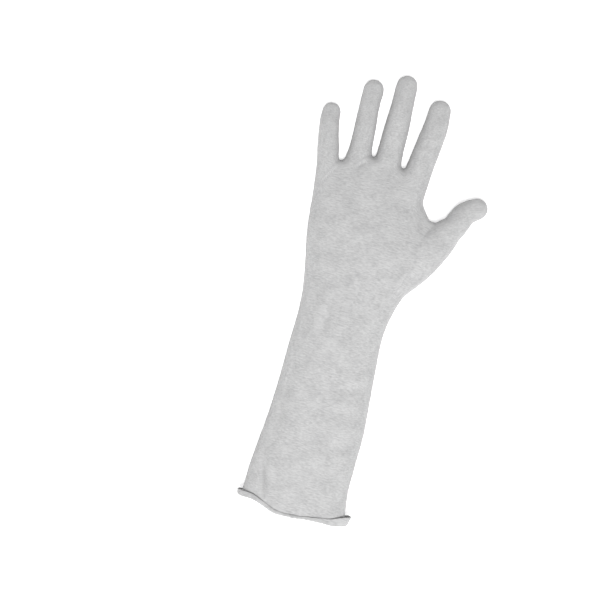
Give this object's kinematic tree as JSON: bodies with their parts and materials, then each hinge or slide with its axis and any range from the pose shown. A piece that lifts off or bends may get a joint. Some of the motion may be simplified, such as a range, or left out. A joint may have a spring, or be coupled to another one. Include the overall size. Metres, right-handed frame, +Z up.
{
  "type": "long cotton inspection glove",
  "caption": "Long, thin knitted cotton glove with spread fingers, a sleeve over the wrist and a raw curled cuff, lying palm down.",
  "frame": {"origin": "on the surface that the glove lies on, under the middle of its bounding box", "axes": "+Y along the glove from the cuff to the fingertips, +X towards the thumb, +Z up from the surface through the back of the hand"},
  "size_m": [0.1446, 0.3572, 0.03],
  "materials": {
    "knit": "matte light grey cotton jersey knit"
  },
  "bodies": {
    "root": {"back_panel": "knit", "palm_panel": "knit"}
  },
  "joints": []
}
